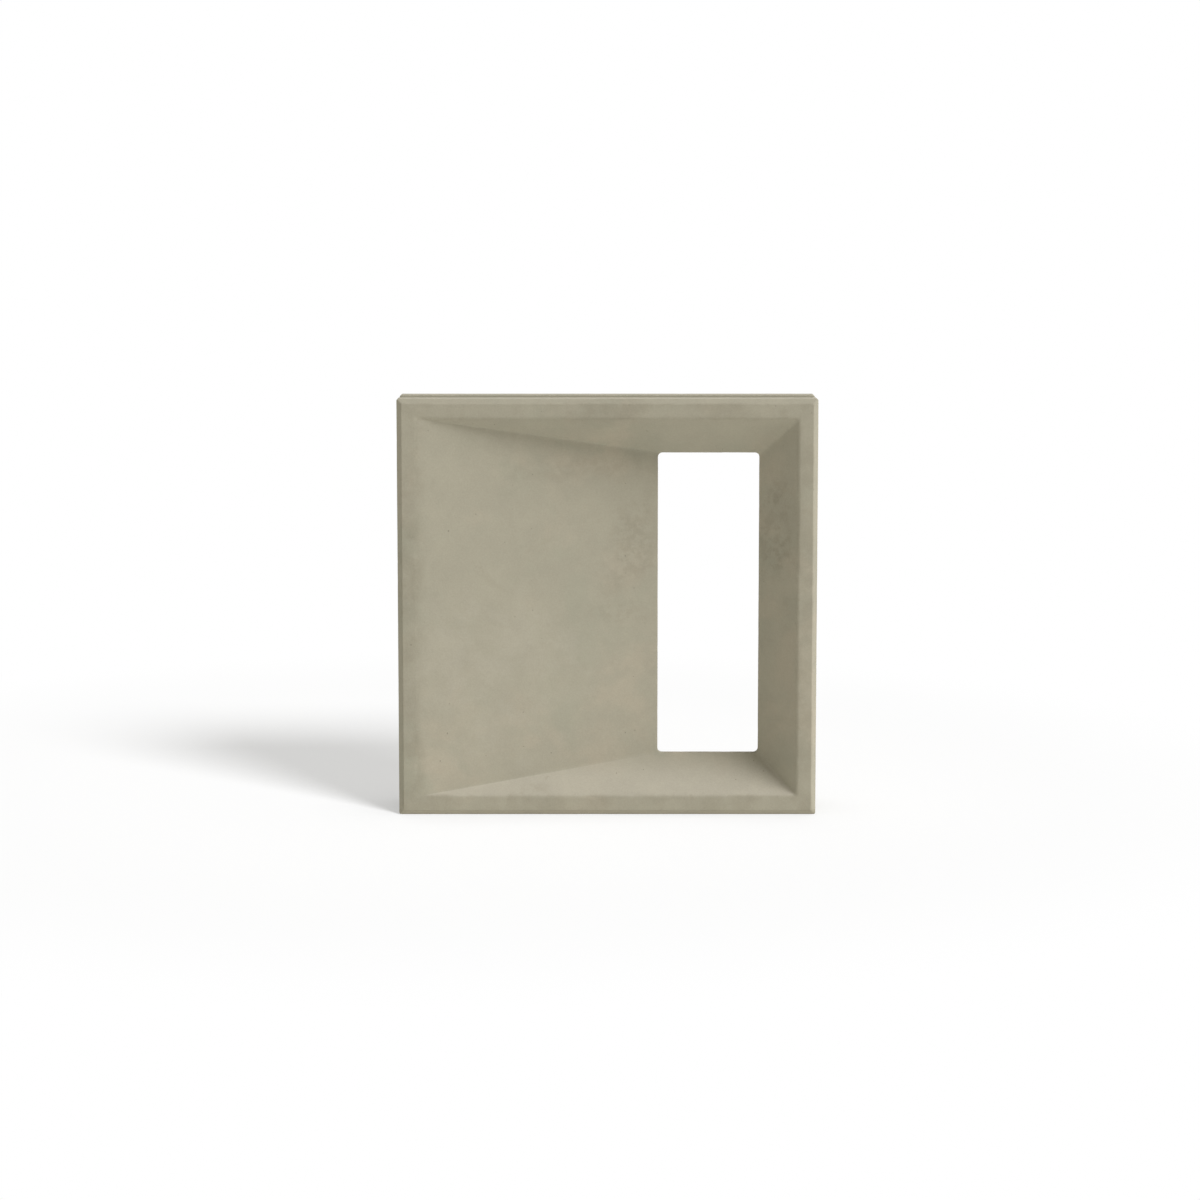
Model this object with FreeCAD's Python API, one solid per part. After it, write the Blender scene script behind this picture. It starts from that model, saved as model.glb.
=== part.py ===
import FreeCAD, Part
import math
import os

from FreeCAD import Vector

# Decorative screen block, cast in one piece of concrete for an open wall.
# It stands on its lower side as it does in the wall: X runs along the wall,
# Y through it from the front face to the back face, and Z up. The origin is
# the middle of the lower side. The back face is the front face mirrored.

# Driving dimensions, in millimetres
block_width = 300.0             # along the wall
block_height = 300.0
block_depth = 60.0              # front face to back face
edge_chamfer = 3.5              # bevel round the front and the back face
rim_width = 14.0                # from the block's sides to the recess
rim_edge_radius = 3.0           # round edge where the rim turns into the recess
recess_corner_radius = 2.0      # corners of the recess in the plane of the face
opening_width = 73.0
opening_margin = 40.5           # from the opening to the top, lower and right sides
opening_corner_radius = 3.2
throat_length = 4.6             # straight wall of the opening, at half the depth
groove_width = 20.0             # mortar groove round the four sides, at its mouth
groove_depth = 8.0
groove_draft = 3.0              # lean of each groove wall over the groove's depth

# Places that follow from the driving dimensions
side_x = block_width / 2
front_y = -block_depth / 2
throat_front_y = -throat_length / 2
opening_right = side_x - opening_margin
opening_left = opening_right - opening_width
opening_top = block_height - opening_margin


def rounded_outline(left, right, bottom, top, radius, y):
    """A rectangle with round corners, as a wire at y."""
    centres = [
        (right - radius, top - radius),
        (left + radius, top - radius),
        (left + radius, bottom + radius),
        (right - radius, bottom + radius),
    ]
    arcs = []
    for quarter, (x, z) in enumerate(centres):
        points = []
        for step in range(3):
            angle = math.radians(90 * quarter + 45 * step)
            points.append(Vector(x + radius * math.cos(angle), y, z + radius * math.sin(angle)))
        arcs.append(Part.Arc(*points))
    edges = []
    for arc, following in zip(arcs, arcs[1:] + arcs[:1]):
        edges.append(arc.toShape())
        edges.append(Part.LineSegment(arc.EndPoint, following.StartPoint).toShape())
    return Part.Wire(edges)


def make_slice(inset_a, y_a, inset_b, y_b):
    """A slice of the block from y_a to y_b, drawn in from its sides by an inset at each end."""
    return Part.makeWedge(
        inset_a - side_x, y_a, inset_a, inset_b, inset_b - side_x,
        side_x - inset_a, y_b, block_height - inset_a, block_height - inset_b, side_x - inset_b,
    )


def make_body():
    """The uncut block: two bevelled flanges with the mortar groove between them."""
    groove_front_y = -groove_width / 2
    front_half = [
        (edge_chamfer, front_y),
        (0.0, front_y + edge_chamfer),
        (0.0, groove_front_y),
        (groove_depth, groove_front_y + groove_draft),
    ]
    back_half = [(inset, -y) for inset, y in reversed(front_half)]
    stations = front_half + back_half
    slices = [make_slice(*near, *far) for near, far in zip(stations, stations[1:])]
    return slices[0].multiFuse(slices[1:]).removeSplitter()


def opening_outline(y):
    """The tall opening in the right of the block, as a wire at y."""
    return rounded_outline(
        opening_left, opening_right, opening_margin, opening_top, opening_corner_radius, y
    )


def make_splay(mouth_edge, throat_edge):
    """One face of the funnel: a plane between straight edges, a ruled one in a corner."""
    if isinstance(mouth_edge.Curve, Part.Circle):
        return Part.makeRuledSurface(mouth_edge, throat_edge)
    corners = [vertex.Point for vertex in mouth_edge.Vertexes + throat_edge.Vertexes[::-1]]
    return Part.Face(Part.makePolygon(corners + corners[:1]))


def make_recess():
    """The lopsided funnel from the front rim down to the opening."""
    mouth = rounded_outline(
        rim_width - side_x,
        side_x - rim_width,
        rim_width,
        block_height - rim_width,
        recess_corner_radius,
        front_y,
    )
    throat = opening_outline(throat_front_y)
    faces = [make_splay(*pair) for pair in zip(mouth.Edges, throat.Edges)]
    return Part.Solid(Part.Shell([Part.Face(mouth), Part.Face(throat)] + faces))


def make_throat():
    """The straight stretch of the opening between the two funnels."""
    return Part.Face(opening_outline(throat_front_y)).extrude(Vector(0, throat_length, 0))


def rim_edges(block):
    """Edges of both faces where the flat rim turns into the recess."""
    tolerance = 0.01
    face_half_width = side_x - edge_chamfer
    found = []
    for edge in block.Edges:
        box = edge.BoundBox
        in_face = min(abs(box.YMin), abs(box.YMax)) > block_depth / 2 - tolerance
        inside = max(-box.XMin, box.XMax) < face_half_width - tolerance
        if in_face and inside:
            found.append(edge)
    return found


def make_screen_block():
    recess = make_recess()
    back_recess = recess.mirror(Vector(0, 0, 0), Vector(0, 1, 0))
    block = make_body().cut([recess, back_recess, make_throat()])
    return block.makeFillet(rim_edge_radius, rim_edges(block))


os.makedirs("parts", exist_ok=True)
screen_block = make_screen_block()
screen_block.exportStep("parts/screen_block.step")
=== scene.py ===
import math

import bmesh
import bpy
import numpy as np
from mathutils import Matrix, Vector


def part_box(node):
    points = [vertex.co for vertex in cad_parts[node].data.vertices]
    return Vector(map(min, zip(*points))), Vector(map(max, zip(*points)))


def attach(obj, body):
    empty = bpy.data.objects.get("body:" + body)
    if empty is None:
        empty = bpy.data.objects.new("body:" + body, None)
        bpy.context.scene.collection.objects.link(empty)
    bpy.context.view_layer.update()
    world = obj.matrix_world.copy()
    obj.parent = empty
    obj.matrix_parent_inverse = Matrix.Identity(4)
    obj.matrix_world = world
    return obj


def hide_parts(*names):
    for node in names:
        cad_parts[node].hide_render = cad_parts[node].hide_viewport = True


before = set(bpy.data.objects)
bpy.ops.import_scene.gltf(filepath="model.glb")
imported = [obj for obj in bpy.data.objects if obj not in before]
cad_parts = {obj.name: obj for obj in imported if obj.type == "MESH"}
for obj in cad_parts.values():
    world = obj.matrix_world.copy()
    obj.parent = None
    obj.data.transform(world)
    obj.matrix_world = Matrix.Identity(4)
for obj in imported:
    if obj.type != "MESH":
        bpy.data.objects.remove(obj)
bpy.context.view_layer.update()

bl_info = {
    "name": "Concrete screen block",
    "version": (1, 0, 0),
    "blender": (4, 5, 0),
    "location": "3D View > Sidebar > Screen block",
    "description": "Casts a square concrete screen block and stands it on a studio floor",
    "category": "Add Mesh",
}

# The frame's own facts. X runs along the wall, Y from the front face to the back face and Z up
BLOCK_NODE = "screen_block"
BODY = "root"
BLOCK_LOW, BLOCK_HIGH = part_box(BLOCK_NODE)

# A loop station lists the loop's left, right, lower and top side, its corner radius and its depth
RIGHT, DEPTH = 1, 5
# The vertex attribute that tells how near an edge lies
EDGE_NEARNESS = "edge_nearness"
WHITE = (1.0, 1.0, 1.0, 1.0)
# Spans that hold most values of the noise, and nearly all of them
NOISE_SPAN, WIDE_NOISE_SPAN = (0.25, 0.75), (0.2, 0.8)

# Smudges of damp and handling, the last of them painted shade under the top crease: centre, reach each way
# and size of the mottling in metres, and strength
SMUDGES_AND_CREASE_SHADE = [
    ((-0.143, -0.030, 0.176), (0.012, 0.014, 0.044), 0.011, 0.40),
    ((0.000, -0.030, 0.292), (0.036, 0.014, 0.012), 0.011, 0.34),
    ((-0.055, -0.030, 0.008), (0.026, 0.014, 0.012), 0.011, 0.34),
    ((0.020, -0.008, 0.193), (0.022, 0.020, 0.025), 0.006, 0.42),
    ((0.006, -0.010, 0.145), (0.017, 0.020, 0.009), 0.005, 0.32),
    ((0.124, -0.016, 0.196), (0.020, 0.020, 0.036), 0.008, 0.66),
    # Painted shade under the top crease of the recess, partly a stain
    ((-0.010, -0.010, 0.250), (0.045, 0.020, 0.010), 0.008, 0.28),
]
# A patch of paler skin on the wide slanted face, given in the same way
PALE_PATCH = ((-0.080, -0.024, 0.098), (0.062, 0.030, 0.052), 0.026, 0.40)


class BlockSizes(bpy.types.PropertyGroup):
    """Sizes of the cast block that the outer box doesn't give."""

    bevel: bpy.props.FloatProperty(
        name="Bevel", description="Bevel round the front and the back face",
        default=0.0035, min=0.0, unit="LENGTH")
    rim: bpy.props.FloatProperty(
        name="Rim", description="From the block's sides to the recess",
        default=0.014, min=0.0, unit="LENGTH")
    recess_corner: bpy.props.FloatProperty(
        name="Recess corner", description="Corner radius of the recess in the plane of the face",
        default=0.002, min=0.0, unit="LENGTH")
    opening_width: bpy.props.FloatProperty(
        name="Opening width", description="Width of the tall opening",
        default=0.073, min=0.0, unit="LENGTH")
    opening_margin: bpy.props.FloatProperty(
        name="Opening margin", description="From the opening to the top, lower and right sides",
        default=0.0405, min=0.0, unit="LENGTH")
    opening_corner: bpy.props.FloatProperty(
        name="Opening corner", description="Corner radius of the opening",
        default=0.0032, min=0.0, unit="LENGTH")
    throat: bpy.props.FloatProperty(
        name="Throat", description="Straight wall of the opening at half the depth",
        default=0.0046, min=0.0, unit="LENGTH")
    groove_width: bpy.props.FloatProperty(
        name="Groove width", description="Mouth of the mortar groove round the sides",
        default=0.020, min=0.0, unit="LENGTH")
    groove_depth: bpy.props.FloatProperty(
        name="Groove depth", description="Depth of the mortar groove",
        default=0.008, min=0.0, unit="LENGTH")
    groove_draft: bpy.props.FloatProperty(
        name="Groove draft", description="Lean of each groove wall over the groove's depth",
        default=0.003, min=0.0, unit="LENGTH")


class CastSurface(bpy.types.PropertyGroup):
    """How the mould and handling left the block's surface."""

    rim_softness: bpy.props.FloatProperty(
        name="Rim softness", description="Reach of the round edge between rim and recess",
        default=0.0016, min=0.0, unit="LENGTH")
    arris_softness: bpy.props.FloatProperty(
        name="Arris softness", description="Reach of the other rounded edges",
        default=0.0004, min=0.0, unit="LENGTH")
    outer_corner: bpy.props.FloatProperty(
        name="Outer corner", description="Radius of the block's four corners",
        default=0.0014, min=0.0, unit="LENGTH")
    wave_depth: bpy.props.FloatProperty(
        name="Wave depth", description="Deepest dip of the faces' slow waves",
        default=0.00008, min=0.0, unit="LENGTH")
    wave_size: bpy.props.FloatProperty(
        name="Wave size", description="Spacing of the faces' slow waves",
        default=0.080, min=0.001, unit="LENGTH")
    wear_depth: bpy.props.FloatProperty(
        name="Wear depth", description="Deepest wear along the edges",
        default=0.0004, min=0.0, unit="LENGTH")
    wear_size: bpy.props.FloatProperty(
        name="Wear size", description="Spacing of the worn spots along the edges",
        default=0.009, min=0.001, unit="LENGTH")
    wear_reach: bpy.props.FloatProperty(
        name="Wear reach", description="How far from an edge the wear shows",
        default=0.0022, min=0.0001, unit="LENGTH")
    pinhole_density: bpy.props.FloatProperty(
        name="Pinholes", description="Air bubbles left open in a square metre of surface",
        default=700.0, min=0.0)
    pinhole_least: bpy.props.FloatProperty(
        name="Smallest pinhole", description="Radius of the smallest open bubble",
        default=0.00015, min=0.0, unit="LENGTH")
    pinhole_most: bpy.props.FloatProperty(
        name="Largest pinhole", description="Radius of the largest open bubble",
        default=0.00050, min=0.0, unit="LENGTH")
    seed: bpy.props.IntProperty(
        name="Seed", description="Draw of the pinholes' places and sizes", default=6)


class ConcreteFinish(bpy.types.PropertyGroup):
    """Colours and grain of the fair-faced concrete."""

    paste: bpy.props.FloatVectorProperty(
        name="Paste", description="Main colour of the cement paste",
        default=(0.338, 0.312, 0.232), min=0.0, max=1.0, subtype="COLOR")
    warm: bpy.props.FloatVectorProperty(
        name="Warm clouds", description="Colour of the warmer clouds",
        default=(0.365, 0.326, 0.241), min=0.0, max=1.0, subtype="COLOR")
    cool: bpy.props.FloatVectorProperty(
        name="Cool clouds", description="Colour of the greener clouds",
        default=(0.322, 0.304, 0.225), min=0.0, max=1.0, subtype="COLOR")
    # The pale skin's colour also paints light on the upward slope under the opening
    skin: bpy.props.FloatVectorProperty(
        name="Pale skin", description="Colour of the paler skin and of settled dust",
        default=(0.385, 0.353, 0.272), min=0.0, max=1.0, subtype="COLOR")
    # The stain colour also paints shade in the groove, under the top crease and at the foot
    stain_and_shade: bpy.props.FloatVectorProperty(
        name="Stains", description="Colour of the damp stains",
        default=(0.262, 0.237, 0.170), min=0.0, max=1.0, subtype="COLOR")
    pore: bpy.props.FloatVectorProperty(
        name="Pores", description="Colour of the finest pores",
        default=(0.160, 0.145, 0.108), min=0.0, max=1.0, subtype="COLOR")
    cloud_size: bpy.props.FloatProperty(
        name="Cloud size", description="Size of the large clouds",
        default=0.060, min=0.001, unit="LENGTH")
    grain_size: bpy.props.FloatProperty(
        name="Grain size", description="Size of the sand grain",
        default=0.0011, min=0.0001, unit="LENGTH")
    roughness: bpy.props.FloatProperty(
        name="Roughness", description="Mean roughness of the surface",
        default=0.86, min=0.0, max=1.0, subtype="FACTOR")


class StudioStage(bpy.types.PropertyGroup):
    """The floor, the light and the camera. Azimuths turn to the right of the front view."""

    floor: bpy.props.FloatVectorProperty(
        name="Floor", description="Colour of the floor",
        default=(0.945, 0.950, 0.970), min=0.0, max=1.0, subtype="COLOR")
    floor_lift: bpy.props.FloatProperty(
        name="Floor lift", description="Share of plain white in the floor near the block",
        default=0.60, min=0.0, max=1.0, subtype="FACTOR")
    floor_half: bpy.props.FloatProperty(
        name="Floor reach", description="Half the side of the square floor",
        default=6.0, min=0.5, unit="LENGTH")
    key_azimuth: bpy.props.FloatProperty(
        name="Key azimuth", description="Direction of the key light on the block",
        default=math.radians(66), unit="ROTATION")
    key_elevation: bpy.props.FloatProperty(
        name="Key elevation", description="Height of the key light on the block",
        default=math.radians(43), unit="ROTATION")
    key_softness: bpy.props.FloatProperty(
        name="Key softness", description="Angle that the key light spans",
        default=math.radians(30), unit="ROTATION")
    key_strength: bpy.props.FloatProperty(
        name="Key strength", description="Strength of the key light", default=3.4, min=0.0)
    key_colour: bpy.props.FloatVectorProperty(
        name="Key colour", description="Colour of the key light",
        default=(0.984, 1.0, 1.082), min=0.0, soft_max=1.1, subtype="COLOR")
    floor_azimuth: bpy.props.FloatProperty(
        name="Floor light azimuth", description="Direction of the light on the floor",
        default=math.radians(38.5), unit="ROTATION")
    floor_elevation: bpy.props.FloatProperty(
        name="Floor light elevation", description="Height of the light on the floor",
        default=math.radians(38.5), unit="ROTATION")
    floor_softness: bpy.props.FloatProperty(
        name="Floor light softness", description="Angle that the light on the floor spans",
        default=math.radians(19), unit="ROTATION")
    floor_strength: bpy.props.FloatProperty(
        name="Floor light strength", description="Strength of the light on the floor",
        default=4.45, min=0.0)
    back_azimuth: bpy.props.FloatProperty(
        name="Back light azimuth", description="Direction of the weak light behind the block",
        default=math.radians(138), unit="ROTATION")
    back_elevation: bpy.props.FloatProperty(
        name="Back light elevation", description="Height of the weak light behind the block",
        default=math.radians(16), unit="ROTATION")
    back_softness: bpy.props.FloatProperty(
        name="Back light softness", description="Angle that the weak light behind the block spans",
        default=math.radians(30), unit="ROTATION")
    back_strength: bpy.props.FloatProperty(
        name="Back light strength", description="Strength of the weak light behind the block",
        default=1.4, min=0.0)
    fill_strength: bpy.props.FloatProperty(
        name="Fill strength", description="Strength of the light from all round", default=0.34, min=0.0)
    fill_colour: bpy.props.FloatVectorProperty(
        name="Fill colour", description="Colour of the light from all round",
        default=(1.025, 1.0, 0.905), min=0.0, soft_max=1.1, subtype="COLOR")
    camera_place: bpy.props.FloatVectorProperty(
        name="Camera", description="Place of the camera",
        default=(-0.0053, -2.2, 0.46), subtype="TRANSLATION", unit="LENGTH")
    camera_pitch: bpy.props.FloatProperty(
        name="Camera pitch", description="How far the camera looks down",
        default=math.radians(6.397), unit="ROTATION")
    camera_lens: bpy.props.FloatProperty(
        name="Camera lens", description="Focal length in millimetres", default=92.0, min=1.0)
    camera_shift: bpy.props.FloatProperty(
        name="Camera shift", description="Upright shift of the picture, as a share of its side",
        default=-0.07)


def outline_station(inset, corner, depth):
    """A loop of the block's outline, drawn in from its sides."""
    return np.array([
        BLOCK_LOW.x + inset, BLOCK_HIGH.x - inset,
        BLOCK_LOW.z + inset, BLOCK_HIGH.z - inset,
        corner, depth,
    ])


def opening_station(sizes, depth):
    """The loop of the tall opening."""
    right = BLOCK_HIGH.x - sizes.opening_margin
    return np.array([
        right - sizes.opening_width, right,
        BLOCK_LOW.z + sizes.opening_margin, BLOCK_HIGH.z - sizes.opening_margin,
        sizes.opening_corner, depth,
    ])


def mirrored(station):
    """The same loop on the back half of the block."""
    other = station.copy()
    other[DEPTH] = -station[DEPTH]
    return other


def profile_corners(sizes, surface):
    """The loops where the block's surface turns, once round its section from the groove floor
    by the front face and the opening to the back face, each with the reach of its rounding, the
    number of strips to the next one and the share of the wear that it takes."""
    front = BLOCK_LOW.y
    half_groove = sizes.groove_width / 2
    groove_floor_strips = 6
    soft, corner = surface.arris_softness, surface.outer_corner
    front_half = [
        (outline_station(sizes.groove_depth, corner, sizes.groove_draft - half_groove), soft, 4, 0.0),
        (outline_station(0.0, corner, -half_groove), soft, 9, 0.2),
        (outline_station(0.0, corner, front + sizes.bevel), soft, 3, 0.2),
        (outline_station(sizes.bevel, corner, front), soft, 9, 0.3),
        (outline_station(sizes.rim, sizes.recess_corner, front), surface.rim_softness, 40, 1.0),
        (opening_station(sizes, -sizes.throat / 2), soft, 3, 0.3),
    ]
    stations, reaches, strips, wear_shares = (list(column) for column in zip(*front_half))
    return (
        stations + [mirrored(station) for station in reversed(stations)],
        reaches + reaches[::-1],
        strips + strips[-2::-1] + [groove_floor_strips],
        wear_shares + wear_shares[::-1],
    )


def along(start, end, reach):
    """The station that lies reach from start towards end, measured on the block's right side."""
    most_share = 0.45
    length = math.hypot(end[RIGHT] - start[RIGHT], end[DEPTH] - start[DEPTH])
    return start + (end - start) * min(reach / length, most_share)


def profile_stations(sizes, surface):
    """Every loop of the block's skin, with round turns and closer strips beside them."""
    turn_steps = 5
    share = np.linspace(0, 1, turn_steps + 1)[:, None]
    corners, reaches, strips, _ = profile_corners(sizes, surface)
    turns = []
    for index, corner in enumerate(corners):
        start = along(corner, corners[index - 1], reaches[index])
        end = along(corner, corners[(index + 1) % len(corners)], reaches[index])
        turns.append((1 - share) ** 2 * start + 2 * share * (1 - share) * corner + share ** 2 * end)
    stations = []
    for turn, following, count in zip(turns, turns[1:] + turns[:1], strips):
        inner = np.arange(1, count) / count
        eased = (0.5 - 0.5 * np.cos(math.pi * inner))[:, None]
        stations.extend(turn)
        stations.extend(turn[-1] + (following[0] - turn[-1]) * eased)
    return np.array(stations)


def loop_points(station, side_steps, corner_steps):
    """Points round one loop: a rectangle with round corners, starting at its right side's top."""
    left, right, bottom, top, radius, depth = station
    centres = np.array([
        (right - radius, top - radius), (left + radius, top - radius),
        (left + radius, bottom + radius), (right - radius, bottom + radius),
    ])
    points = []
    for quarter in range(4):
        angles = (quarter + np.arange(corner_steps + 1) / corner_steps) * math.pi / 2
        arc = centres[quarter] + radius * np.stack([np.cos(angles), np.sin(angles)], axis=1)
        run = centres[(quarter + 1) % 4] - centres[quarter]
        shares = (np.arange(1, side_steps) / side_steps)[:, None]
        points.append(arc)
        points.append(arc[-1] + run * shares)
    flat = np.concatenate(points)
    return np.stack([flat[:, 0], np.full(len(flat), depth), flat[:, 1]], axis=1)


def block_mesh(sizes, surface):
    """The block's closed skin as a mesh of loops, smooth and still unworn."""
    side_steps, corner_steps = 96, 4
    stations = profile_stations(sizes, surface)
    loops = np.array([loop_points(station, side_steps, corner_steps) for station in stations])
    rows, columns = loops.shape[:2]
    row = np.arange(rows)[:, None]
    column = np.arange(columns)[None, :]
    next_row, next_column = (row + 1) % rows, (column + 1) % columns
    faces = np.stack([
        row * columns + column, row * columns + next_column,
        next_row * columns + next_column, next_row * columns + column,
    ], axis=-1).reshape(-1, 4)
    mesh = bpy.data.meshes.new("cast_block")
    mesh.from_pydata(loops.reshape(-1, 3).tolist(), [], faces.tolist())
    mesh.update()
    return mesh


def vertex_places(mesh):
    """The mesh's vertices as an array."""
    places = np.zeros(len(mesh.vertices) * 3, np.float32)
    mesh.vertices.foreach_get("co", places)
    return places.reshape(-1, 3)


def loop_distance(points, station):
    """How far each point lies from a rectangular loop."""
    left, right, bottom, top, _, depth = station
    x, y, z = points.T
    beside = np.minimum(np.abs(x - left), np.abs(x - right))
    above = np.minimum(np.abs(z - bottom), np.abs(z - top))
    past_x = np.maximum(np.maximum(left - x, x - right), 0)
    past_z = np.maximum(np.maximum(bottom - z, z - top), 0)
    in_plane = np.minimum(np.hypot(beside, past_z), np.hypot(above, past_x))
    return np.hypot(in_plane, y - depth)


def mark_edges(mesh, sizes, surface):
    """Stores on each vertex how near it lies to an edge that wears."""
    corners, _, _, wear_shares = profile_corners(sizes, surface)
    points = vertex_places(mesh)
    nearness = np.zeros(len(points))
    for corner, share in zip(corners, wear_shares):
        distance = loop_distance(points, corner)
        nearness = np.maximum(nearness, share * np.exp(-((distance / surface.wear_reach) ** 2)))
    attribute = mesh.attributes.get(EDGE_NEARNESS)
    if attribute is None:
        attribute = mesh.attributes.new(EDGE_NEARNESS, "FLOAT", "POINT")
    attribute.data.foreach_set("value", nearness.astype(np.float32))


def add_node(tree, kind, inputs=None, **settings):
    """A new node, its inputs given by name or place, as values or as other nodes' outputs."""
    node = tree.nodes.new(kind)
    for name, value in settings.items():
        setattr(node, name, value)
    for key, value in (inputs or {}).items():
        if isinstance(value, bpy.types.NodeSocket):
            tree.links.new(value, node.inputs[key])
        else:
            node.inputs[key].default_value = value
    return node


def calculate(tree, operation, first, second):
    """The output of a Math node."""
    return add_node(tree, "ShaderNodeMath", {0: first, 1: second}, operation=operation).outputs[0]


def vector_math(tree, operation, *values):
    """The outputs of a Vector Math node, whose inputs are given in order."""
    return add_node(tree, "ShaderNodeVectorMath", dict(enumerate(values)), operation=operation).outputs


def axis_parts(tree, vector):
    """A vector's X, Y and Z."""
    return add_node(tree, "ShaderNodeSeparateXYZ", {0: vector}).outputs


def between(tree, value, low, high, bottom=0.0, top=1.0):
    """A soft step of value, from bottom at low to top at high."""
    inputs = {0: value, 1: low, 2: high, 3: bottom, 4: top}
    return add_node(tree, "ShaderNodeMapRange", inputs, interpolation_type="SMOOTHSTEP").outputs[0]


def noise(tree, place, size, draw, detail, roughness=0.6, distortion=0.0):
    """Noise with features of about this size. Another draw gives another pattern."""
    frequency = 1.0 / size if isinstance(size, float) else calculate(tree, "DIVIDE", 1.0, size)
    inputs = {
        "Vector": place, "W": draw, "Scale": frequency, "Detail": detail,
        "Roughness": roughness, "Distortion": distortion,
    }
    return add_node(tree, "ShaderNodeTexNoise", inputs, noise_dimensions="4D").outputs[0]


def clouds(tree, place, size, draw, low, high, strength=1.0, **character):
    """Clouds of noise, from 0 where the noise is low to strength where it is high."""
    return between(tree, noise(tree, place, size, draw, **character), low, high, 0.0, strength)


def worn_skin(tree, given):
    """The block's skin, drawn in by slow waves and by worn spots along its edges."""
    place = add_node(tree, "GeometryNodeInputPosition").outputs[0]
    normal = add_node(tree, "GeometryNodeInputNormal").outputs[0]
    edge = add_node(tree, "GeometryNodeInputNamedAttribute", {"Name": EDGE_NEARNESS}).outputs[0]
    waves = noise(tree, place, given["Wave size"], draw=2.0, detail=2.0, roughness=0.5)
    spots = clouds(tree, place, given["Wear size"], draw=5.0, low=0.42, high=0.74, detail=4.0)
    wave = calculate(tree, "MULTIPLY", waves, given["Wave depth"])
    wear = calculate(tree, "MULTIPLY", calculate(tree, "MULTIPLY", spots, edge), given["Wear depth"])
    inward = calculate(tree, "MULTIPLY", calculate(tree, "ADD", wave, wear), -1.0)
    scaled = {0: normal, "Scale": inward}
    offset = add_node(tree, "ShaderNodeVectorMath", scaled, operation="SCALE").outputs[0]
    moved = {"Geometry": given["Block"], "Offset": offset}
    return add_node(tree, "GeometryNodeSetPosition", moved).outputs[0]


def open_bubbles(tree, given, skin):
    """Balls scattered over the skin, more small ones than large ones."""
    segments, rings = 9, 6
    small_bias = 3.0
    scatter = {"Mesh": skin, "Density": given["Pinhole density"], "Seed": given["Seed"]}
    points = add_node(tree, "GeometryNodeDistributePointsOnFaces", scatter).outputs
    shape = {"Segments": segments, "Rings": rings, "Radius": 1.0}
    ball = add_node(tree, "GeometryNodeMeshUVSphere", shape).outputs[0]
    share = add_node(tree, "FunctionNodeRandomValue", {"Seed": given["Seed"]}).outputs[1]
    small_share = calculate(tree, "POWER", share, small_bias)
    span = calculate(tree, "SUBTRACT", given["Pinhole most"], given["Pinhole least"])
    radius = calculate(tree, "ADD", calculate(tree, "MULTIPLY", small_share, span), given["Pinhole least"])
    instances = add_node(tree, "GeometryNodeInstanceOnPoints", {
        "Points": points["Points"], "Instance": ball, "Rotation": points["Rotation"], "Scale": radius,
    }).outputs[0]
    return add_node(tree, "GeometryNodeRealizeInstances", {0: instances}).outputs[0]


def surface_tree():
    """Geometry nodes that wave and wear the block's skin and cut the open bubbles into it."""
    weld_reach = 0.00002
    tree = bpy.data.node_groups.new("cast_surface", "GeometryNodeTree")
    sockets = [
        ("Block", "NodeSocketGeometry"), ("Wave depth", "NodeSocketFloat"),
        ("Wave size", "NodeSocketFloat"), ("Wear depth", "NodeSocketFloat"),
        ("Wear size", "NodeSocketFloat"), ("Pinhole density", "NodeSocketFloat"),
        ("Pinhole least", "NodeSocketFloat"), ("Pinhole most", "NodeSocketFloat"),
        ("Seed", "NodeSocketInt"), ("Concrete", "NodeSocketMaterial"),
    ]
    for name, kind in sockets:
        tree.interface.new_socket(name=name, in_out="INPUT", socket_type=kind)
    tree.interface.new_socket(name="Block", in_out="OUTPUT", socket_type="NodeSocketGeometry")
    given = add_node(tree, "NodeGroupInput").outputs

    skin = worn_skin(tree, given)
    meshes = {"Mesh 1": skin, "Mesh 2": open_bubbles(tree, given, skin)}
    cut = add_node(
        tree, "GeometryNodeMeshBoolean", meshes, operation="DIFFERENCE", solver="MANIFOLD").outputs[0]
    near = {"Geometry": cut, "Distance": weld_reach}
    welded = add_node(tree, "GeometryNodeMergeByDistance", near).outputs[0]
    whole = add_node(tree, "GeometryNodeRealizeInstances", {0: welded}).outputs[0]
    coated = {"Geometry": whole, "Material": given["Concrete"]}
    finished = add_node(tree, "GeometryNodeSetMaterial", coated).outputs[0]
    add_node(tree, "NodeGroupOutput", {"Block": finished})
    return tree


def set_tree_inputs(modifier, values):
    """Sets a geometry nodes modifier's inputs, given by their names."""
    for item in modifier.node_group.interface.items_tree:
        if item.item_type == "SOCKET" and item.in_out == "INPUT" and item.name in values:
            modifier[item.identifier] = values[item.name]


def split_many_sided(mesh):
    """Splits faces with more than four sides into triangles, so that each export cuts them alike."""
    work = bmesh.new()
    work.from_mesh(mesh)
    many_sided = [face for face in work.faces if len(face.verts) > 4]
    bmesh.ops.triangulate(work, faces=many_sided, ngon_method="BEAUTY")
    work.to_mesh(mesh)
    work.free()


def made_plain(piece):
    """Turns a piece's evaluated shape into its plain mesh and drops its modifiers."""
    bpy.context.view_layer.update()
    evaluated = piece.evaluated_get(bpy.context.evaluated_depsgraph_get())
    mesh = bpy.data.meshes.new_from_object(evaluated)
    split_many_sided(mesh)
    unworn = piece.data
    piece.modifiers.clear()
    piece.data = mesh
    bpy.data.meshes.remove(unworn)
    mesh.name = piece.name


def mix_colours(tree, share, first, second, blend="MIX"):
    """The output of a colour Mix node. A property's colour becomes opaque."""
    def opaque(colour):
        return colour if isinstance(colour, bpy.types.NodeSocket) else (*colour, 1.0)

    inputs = {0: share, 6: opaque(first), 7: opaque(second)}
    return add_node(tree, "ShaderNodeMix", inputs, data_type="RGBA", blend_type=blend).outputs[2]


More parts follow.
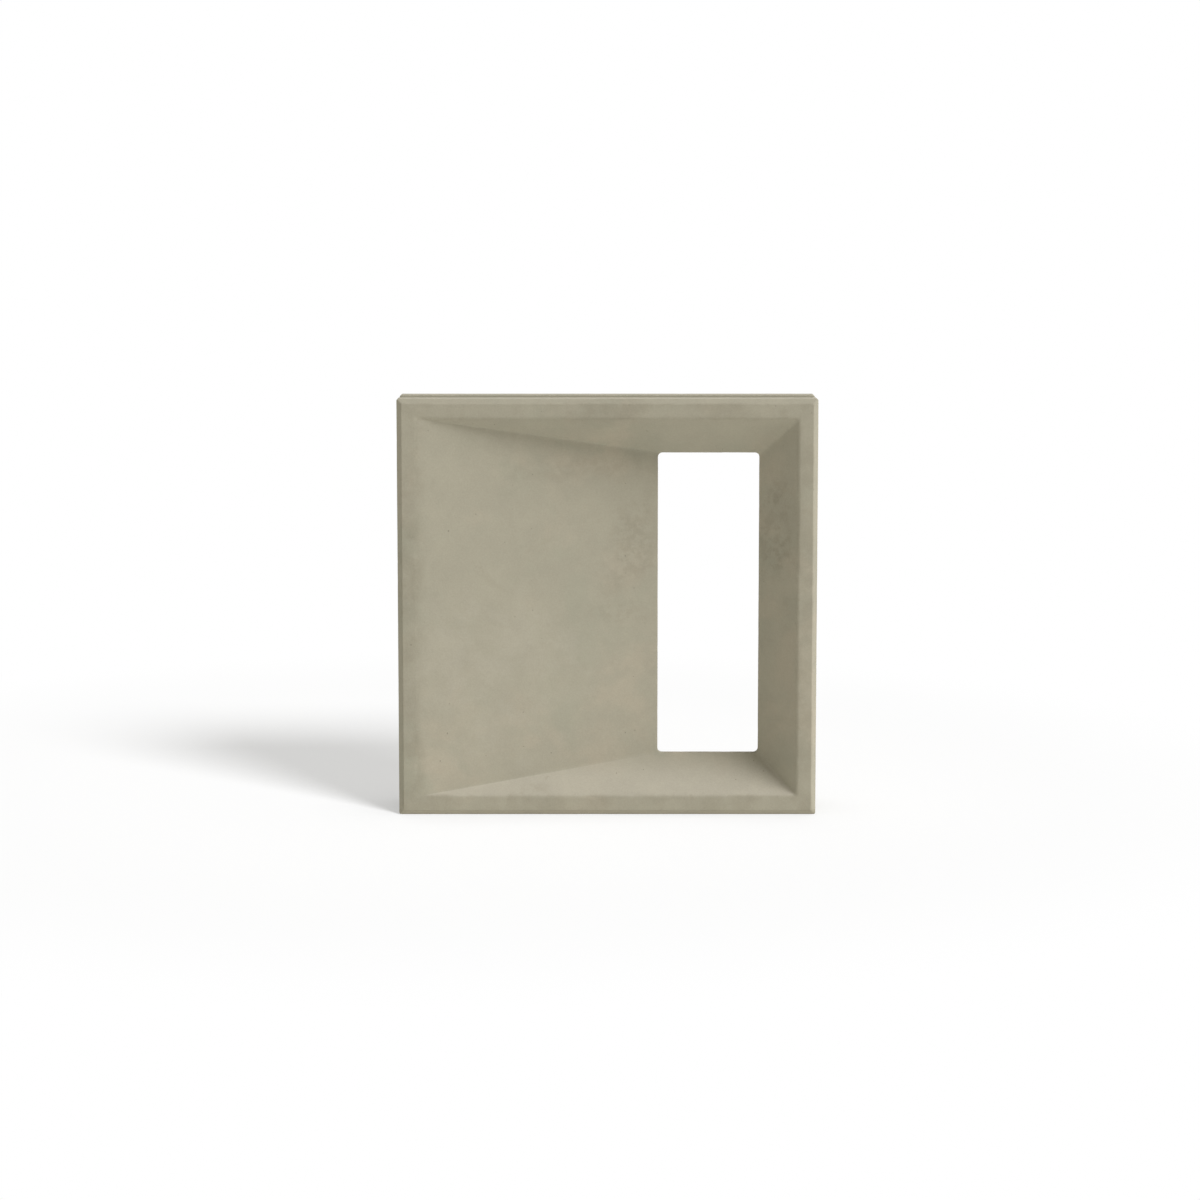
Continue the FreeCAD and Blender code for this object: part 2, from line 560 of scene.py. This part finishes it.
def new_material(name):
    """A material with an empty node tree, and its output node."""
    material = bpy.data.materials.new(name)
    material.use_nodes = True
    material.node_tree.nodes.clear()
    return material, add_node(material.node_tree, "ShaderNodeOutputMaterial")


def mottled_patch(tree, place, patch, draw):
    """A patch round a centre that fades out softly and is broken up by mottling, from 0 to its strength."""
    lobe_size, lobe_reach = 0.030, 0.6
    full_within, gone_past = 0.35, 1.45
    mottle_span, least_mottling = (0.42, 0.58), 0.15
    centre, reach, mottle_size, strength = patch
    away = vector_math(tree, "SUBTRACT", place, centre)["Vector"]
    scaled = vector_math(tree, "DIVIDE", away, reach)["Vector"]
    distance = vector_math(tree, "LENGTH", scaled)["Value"]
    lobes = noise(tree, place, lobe_size, draw, detail=4.0)
    lobed = between(tree, lobes, *NOISE_SPAN, -lobe_reach, lobe_reach)
    uneven = calculate(tree, "ADD", distance, lobed)
    mottling = noise(tree, place, mottle_size, draw + 1.0, detail=7.0, roughness=0.62, distortion=0.25)
    broken_up = between(tree, mottling, *mottle_span, least_mottling, 1.0)
    covered = calculate(tree, "MULTIPLY", between(tree, uneven, gone_past, full_within), broken_up)
    return calculate(tree, "MULTIPLY", covered, strength)


def sill_painted_light(tree, place):
    """1 on the upward slope under the opening, which is painted paler as painted light, else 0."""
    full_below, gone_above = 0.022, 0.042
    bare_slope, full_slope = 0.25, 0.60
    low = between(tree, axis_parts(tree, place)["Z"], gone_above, full_below)
    normal = add_node(tree, "ShaderNodeNewGeometry").outputs["Normal"]
    upward = between(tree, axis_parts(tree, normal)["Z"], bare_slope, full_slope)
    return calculate(tree, "MULTIPLY", low, upward)


def from_middle(tree, place):
    """How far a point lies from the block's middle along X, Y and Z."""
    middle = (BLOCK_LOW + BLOCK_HIGH) / 2
    offset = vector_math(tree, "SUBTRACT", place, middle)["Vector"]
    return axis_parts(tree, vector_math(tree, "ABSOLUTE", offset)["Vector"])


def rim_mask(tree, place):
    """1 on the flat rims of both faces, else 0."""
    gone_under_face, full_under_face = 0.0015, 0.0003
    depth = from_middle(tree, place)["Y"]
    return between(tree, depth, BLOCK_HIGH.y - gone_under_face, BLOCK_HIGH.y - full_under_face)


def groove_shade_mask(tree, place, sizes):
    """1 in the mortar groove, where shade is painted in, else 0."""
    mouth = sizes.groove_width / 2
    gone_past_mouth, full_within_mouth = 0.0005, 0.0015
    groove_floor = BLOCK_HIGH.x - sizes.groove_depth
    gone_below_floor, full_below_floor = 0.012, 0.004
    offset = from_middle(tree, place)
    inside = between(tree, offset["Y"], mouth + gone_past_mouth, mouth - full_within_mouth)
    outward = calculate(tree, "MAXIMUM", offset["X"], offset["Z"])
    outside = between(tree, outward, groove_floor - gone_below_floor, groove_floor - full_below_floor)
    return calculate(tree, "MULTIPLY", inside, outside)


def painted_foot_shade(tree, place, sizes):
    """Share of painted shade on the downward bevel at the block's foot, which darkens to a painted contact
    shadow line where it stands.
    """
    gone_above_bevel, full_below_bevel = 0.0007, 0.0003
    line_top, line_full = 0.0016, 0.0006
    bevel_strength, line_strength = 0.45, 0.30
    height = axis_parts(tree, place)["Z"]
    bevel = between(
        tree, height, sizes.bevel + gone_above_bevel, sizes.bevel - full_below_bevel, 0.0, bevel_strength)
    return calculate(tree, "ADD", bevel, between(tree, height, line_top, line_full, 0.0, line_strength))


def pore_mask(tree, place):
    """1 in the finest pores, else 0."""
    cells_per_metre = 150.0
    cells_without = 0.62
    largest_pore = 0.075
    layout = {"Vector": place, "Scale": cells_per_metre, "Randomness": 1.0}
    cells = add_node(tree, "ShaderNodeTexVoronoi", layout).outputs
    draw = add_node(tree, "ShaderNodeSeparateColor", {0: cells["Color"]}).outputs[0]
    size = between(tree, draw, cells_without, 1.0, 0.0, largest_pore)
    return calculate(tree, "LESS_THAN", cells["Distance"], size)


def clouded_paste(tree, place, finish):
    """The colour of the cement paste with warmer and greener clouds and faint dark wisps."""
    warm_size = finish.cloud_size
    cool_size, wisp_size = 0.8 * warm_size, 0.7 * warm_size
    soft = {"detail": 7.0, "roughness": 0.62, "distortion": 0.3}
    drawn_out = {"detail": 7.0, "roughness": 0.66, "distortion": 1.2}
    warm = clouds(tree, place, warm_size, draw=1.3, low=0.48, high=0.64, **soft)
    cool = clouds(tree, place, cool_size, draw=7.7, low=0.50, high=0.66, **soft)
    wisps = clouds(tree, place, wisp_size, draw=11.4, low=0.54, high=0.72, strength=0.22, **drawn_out)
    colour = mix_colours(tree, warm, finish.paste, finish.warm)
    colour = mix_colours(tree, cool, colour, finish.cool)
    return mix_colours(tree, wisps, colour, finish.stain_and_shade)


def pale_shares(tree, place):
    """How strongly the pale patch and the painted light on the sill cover the paste."""
    patch_draw = 25.0
    # Strength of the painted light on the sill
    sill_light_strength = 0.88
    return [
        mottled_patch(tree, place, PALE_PATCH, patch_draw),
        calculate(tree, "MULTIPLY", sill_painted_light(tree, place), sill_light_strength),
    ]


def stain_and_shade_shares(tree, place, sizes):
    """How strongly each stain and painted shade covers the paste: smudges, painted shade under the top
    crease, hand marks on the rims, painted shade in the groove and at the foot, and flecks.
    """
    first_draw, draw_step = 30.0, 3.0
    # Strength of the painted shade in the mortar groove
    groove_shade_strength = 0.40
    smudges_and_crease_shade = [
        mottled_patch(tree, place, dark_patch, first_draw + draw_step * number)
        for number, dark_patch in enumerate(SMUDGES_AND_CREASE_SHADE)
    ]
    hand_marks = clouds(tree, place, size=0.024, draw=17.0, low=0.43, high=0.66, strength=0.44, detail=5.0)
    flecks = clouds(
        tree, place, size=0.007, draw=21.0, low=0.66, high=0.74, strength=0.35,
        detail=6.0, roughness=0.65, distortion=0.6)
    return [
        *smudges_and_crease_shade,
        calculate(tree, "MULTIPLY", rim_mask(tree, place), hand_marks),
        calculate(tree, "MULTIPLY", groove_shade_mask(tree, place, sizes), groove_shade_strength),
        painted_foot_shade(tree, place, sizes),
        flecks,
    ]


def edge_marks(tree, place):
    """How strongly dark patches and small chips cover the worn edges."""
    edge = add_node(tree, "ShaderNodeAttribute", attribute_name=EDGE_NEARNESS).outputs["Fac"]
    patches = clouds(tree, place, size=0.013, draw=9.0, low=0.40, high=0.70, strength=0.30, detail=4.0)
    chips = clouds(tree, place, size=0.0035, draw=13.0, low=0.55, high=0.68, strength=0.40, detail=4.0)
    return calculate(tree, "MULTIPLY", edge, calculate(tree, "MAXIMUM", patches, chips))


def skin_relief(tree, place, grain, pore):
    """The bumped normal of the sand grain, the mould's unevenness and the finest pores."""
    grain_height, mould_height, pore_depth = 0.00004, 0.00012, 0.00025
    mould = noise(tree, place, size=0.007, draw=6.6, detail=4.0)
    raised = calculate(
        tree, "ADD", calculate(tree, "MULTIPLY", grain, grain_height),
        calculate(tree, "MULTIPLY", mould, mould_height))
    height = calculate(tree, "SUBTRACT", raised, calculate(tree, "MULTIPLY", pore, pore_depth))
    return add_node(tree, "ShaderNodeBump", {"Strength": 1.0, "Distance": 1.0, "Height": height}).outputs[0]


def concrete_material(finish, sizes):
    """Fair-faced concrete: soft clouds, a paler skin, stains, sand grain and fine pores, with painted light
    on the sill and painted shade in the groove, under the top crease and at the foot.
    """
    shade_size = 0.45 * finish.cloud_size
    darkest_shade, palest_shade = 0.945, 1.035
    grain_contrast = 0.045
    pore_strength = 0.55
    smoother, rougher = 0.06, 0.08
    material, output = new_material("fair_faced_concrete")
    tree = material.node_tree
    place = add_node(tree, "ShaderNodeTexCoord").outputs["Object"]
    shade = noise(tree, place, shade_size, draw=3.1, detail=7.0, roughness=0.66, distortion=0.5)
    grain = noise(tree, place, finish.grain_size, draw=4.2, detail=2.0)
    pore = pore_mask(tree, place)

    colour = clouded_paste(tree, place, finish)
    for share in pale_shares(tree, place):
        colour = mix_colours(tree, share, colour, finish.skin)
    for share in stain_and_shade_shares(tree, place, sizes):
        colour = mix_colours(tree, share, colour, finish.stain_and_shade)
    tone = calculate(
        tree, "ADD", between(tree, shade, *NOISE_SPAN, darkest_shade, palest_shade),
        between(tree, grain, *WIDE_NOISE_SPAN, -grain_contrast, grain_contrast))
    colour = mix_colours(tree, 1.0, colour, tone, "MULTIPLY")
    colour = mix_colours(tree, calculate(tree, "MULTIPLY", pore, pore_strength), colour, finish.pore)
    colour = mix_colours(tree, edge_marks(tree, place), colour, finish.stain_and_shade)

    smoothest, roughest = finish.roughness - smoother, finish.roughness + rougher
    roughness = between(tree, shade, *WIDE_NOISE_SPAN, smoothest, roughest)
    shader = add_node(tree, "ShaderNodeBsdfPrincipled", {
        "Base Color": colour, "Roughness": roughness, "Specular IOR Level": 0.35,
        "Normal": skin_relief(tree, place, grain, pore),
    })
    tree.links.new(shader.outputs[0], output.inputs["Surface"])
    return material


def seen_by_viewer(tree):
    """1 for what the camera sees, straight, in a reflection or through glass, else 0."""
    rays = add_node(tree, "ShaderNodeLightPath").outputs
    reflected = calculate(tree, "MAXIMUM", rays["Is Glossy Ray"], rays["Is Transmission Ray"])
    return calculate(tree, "MAXIMUM", rays["Is Camera Ray"], reflected)


def floor_material(stage):
    """A pale floor that keeps the block's shadow, darkens at its foot and turns plain white further out."""
    shadow_middle = (-0.10, 0.10, 0.0)
    near_reach, white_reach = 0.26, 0.66
    near_white = 0.872
    contact_reach, contact_shade, half_open = 0.075, 0.86, 0.5
    material, output = new_material("studio_floor")
    tree = material.node_tree
    place = add_node(tree, "ShaderNodeTexCoord").outputs["Object"]
    distance = vector_math(tree, "DISTANCE", place, shadow_middle)["Value"]
    lift = between(tree, distance, near_reach, white_reach, stage.floor_lift, 1.0)
    pale = add_node(tree, "ShaderNodeBsdfDiffuse", {"Color": (*stage.floor, 1.0)}).outputs[0]
    open_sky = add_node(
        tree, "ShaderNodeAmbientOcclusion", {"Distance": contact_reach}, samples=8).outputs["AO"]
    glow = calculate(
        tree, "MULTIPLY", between(tree, distance, near_reach, white_reach, near_white, 1.0),
        between(tree, open_sky, half_open, 1.0, contact_shade, 1.0))
    white = add_node(tree, "ShaderNodeEmission", {"Color": WHITE, "Strength": glow}).outputs[0]
    share = calculate(tree, "MULTIPLY", seen_by_viewer(tree), lift)
    mixed = add_node(tree, "ShaderNodeMixShader", {0: share, 1: pale, 2: white}).outputs[0]
    tree.links.new(mixed, output.inputs["Surface"])
    return material


def studio_world(stage):
    """White to the viewer, soft fill light to the block and the floor."""
    world = bpy.data.worlds.new("studio")
    world.use_nodes = True
    tree = world.node_tree
    tree.nodes.clear()
    fill_light = {"Color": (*stage.fill_colour, 1.0), "Strength": stage.fill_strength}
    fill = add_node(tree, "ShaderNodeBackground", fill_light).outputs[0]
    backdrop = add_node(tree, "ShaderNodeBackground", {"Color": WHITE, "Strength": 1.0}).outputs[0]
    layers = {0: seen_by_viewer(tree), 1: fill, 2: backdrop}
    mixed = add_node(tree, "ShaderNodeMixShader", layers).outputs[0]
    add_node(tree, "ShaderNodeOutputWorld", {"Surface": mixed})
    return world


def add_floor(stage):
    """The floor under the block."""
    reach = stage.floor_half
    corners = [(-reach, -reach, 0), (reach, -reach, 0), (reach, reach, 0), (-reach, reach, 0)]
    mesh = bpy.data.meshes.new("studio_floor")
    mesh.from_pydata(corners, [], [(0, 1, 2, 3)])
    mesh.materials.append(floor_material(stage))
    floor = bpy.data.objects.new("studio_floor", mesh)
    bpy.context.scene.collection.objects.link(floor)
    return floor


def add_soft_light(name, azimuth, elevation, softness, strength):
    """A soft light from far away, shining down towards the block."""
    data = bpy.data.lights.new(name, "SUN")
    data.energy = strength
    data.angle = softness
    lamp = bpy.data.objects.new(name, data)
    lamp.rotation_euler = (math.pi / 2 - elevation, 0.0, azimuth)
    bpy.context.scene.collection.objects.link(lamp)
    return lamp


def link_light(lamp, floor, on_floor):
    """Lets a light reach the floor alone, or all but the floor. The shadow on the floor falls further
    back than the shadows in the recess, so the floor and the block have lights of their own."""
    receivers = bpy.data.collections.new(lamp.name + "_receivers")
    receivers.objects.link(floor)
    receivers.collection_objects[0].light_linking.link_state = "INCLUDE" if on_floor else "EXCLUDE"
    lamp.light_linking.receiver_collection = receivers


def add_camera(stage):
    """The camera of the front view."""
    data = bpy.data.cameras.new("front_camera")
    data.lens = stage.camera_lens
    data.shift_y = stage.camera_shift
    camera = bpy.data.objects.new("front_camera", data)
    camera.location = stage.camera_place
    camera.rotation_euler = (math.pi / 2 - stage.camera_pitch, 0.0, 0.0)
    bpy.context.scene.collection.objects.link(camera)
    bpy.context.scene.camera = camera


class SCREENBLOCK_OT_cast_block(bpy.types.Operator):
    """Cast the concrete block in place of its plain solid"""

    bl_idname = "screen_block.cast_block"
    bl_label = "Cast block"
    bl_options = {"REGISTER", "UNDO"}

    def execute(self, context):
        sharp_angle = math.radians(40)
        sizes, surface = context.scene.block_sizes, context.scene.cast_surface
        mesh = block_mesh(sizes, surface)
        mark_edges(mesh, sizes, surface)
        block = bpy.data.objects.new("cast_block", mesh)
        context.scene.collection.objects.link(block)
        concrete = concrete_material(context.scene.concrete_finish, sizes)
        modifier = block.modifiers.new("cast_surface", "NODES")
        modifier.node_group = surface_tree()
        set_tree_inputs(modifier, {
            "Wave depth": surface.wave_depth, "Wave size": surface.wave_size,
            "Wear depth": surface.wear_depth, "Wear size": surface.wear_size,
            "Pinhole density": surface.pinhole_density, "Pinhole least": surface.pinhole_least,
            "Pinhole most": surface.pinhole_most, "Seed": surface.seed, "Concrete": concrete,
        })
        made_plain(block)
        # The cut bubbles added vertices, so the edges are marked again for the concrete's colour
        mark_edges(block.data, sizes, surface)
        block.data.shade_smooth()
        block.data.set_sharp_from_angle(angle=sharp_angle)
        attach(block, BODY)
        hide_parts(BLOCK_NODE)
        return {"FINISHED"}


class SCREENBLOCK_OT_set_stage(bpy.types.Operator):
    """Set the floor, the light and the camera"""

    bl_idname = "screen_block.set_stage"
    bl_label = "Set stage"
    bl_options = {"REGISTER", "UNDO"}

    def execute(self, context):
        stage = context.scene.studio_stage
        context.scene.view_settings.view_transform = "Standard"
        context.scene.world = studio_world(stage)
        floor = add_floor(stage)
        key_light = add_soft_light(
            "key_light", stage.key_azimuth, stage.key_elevation, stage.key_softness, stage.key_strength)
        key_light.data.color = stage.key_colour
        floor_light = add_soft_light(
            "floor_light", stage.floor_azimuth, stage.floor_elevation,
            stage.floor_softness, stage.floor_strength)
        back_light = add_soft_light(
            "back_light", stage.back_azimuth, stage.back_elevation,
            stage.back_softness, stage.back_strength)
        link_light(key_light, floor, on_floor=False)
        link_light(floor_light, floor, on_floor=True)
        link_light(back_light, floor, on_floor=False)
        add_camera(stage)
        return {"FINISHED"}


class SCREENBLOCK_PT_panel(bpy.types.Panel):
    """The block's sizes, surface and finish, and the stage"""

    bl_idname = "SCREENBLOCK_PT_panel"
    bl_label = "Screen block"
    bl_space_type = "VIEW_3D"
    bl_region_type = "UI"
    bl_category = "Screen block"

    def draw(self, context):
        for group in PROPERTY_GROUPS:
            box = self.layout.box()
            properties = getattr(context.scene, group)
            for name in properties.__annotations__:
                box.prop(properties, name)
        self.layout.operator(SCREENBLOCK_OT_cast_block.bl_idname)
        self.layout.operator(SCREENBLOCK_OT_set_stage.bl_idname)


PROPERTY_GROUPS = {
    "block_sizes": BlockSizes,
    "cast_surface": CastSurface,
    "concrete_finish": ConcreteFinish,
    "studio_stage": StudioStage,
}
CLASSES = (
    *PROPERTY_GROUPS.values(),
    SCREENBLOCK_OT_cast_block,
    SCREENBLOCK_OT_set_stage,
    SCREENBLOCK_PT_panel,
)


def register():
    for one in CLASSES:
        bpy.utils.register_class(one)
    for name, group in PROPERTY_GROUPS.items():
        setattr(bpy.types.Scene, name, bpy.props.PointerProperty(type=group))


def unregister():
    for name in PROPERTY_GROUPS:
        delattr(bpy.types.Scene, name)
    for one in reversed(CLASSES):
        bpy.utils.unregister_class(one)


def main():
    register()
    bpy.ops.screen_block.cast_block()
    bpy.ops.screen_block.set_stage()


if __name__ == "__main__":
    main()
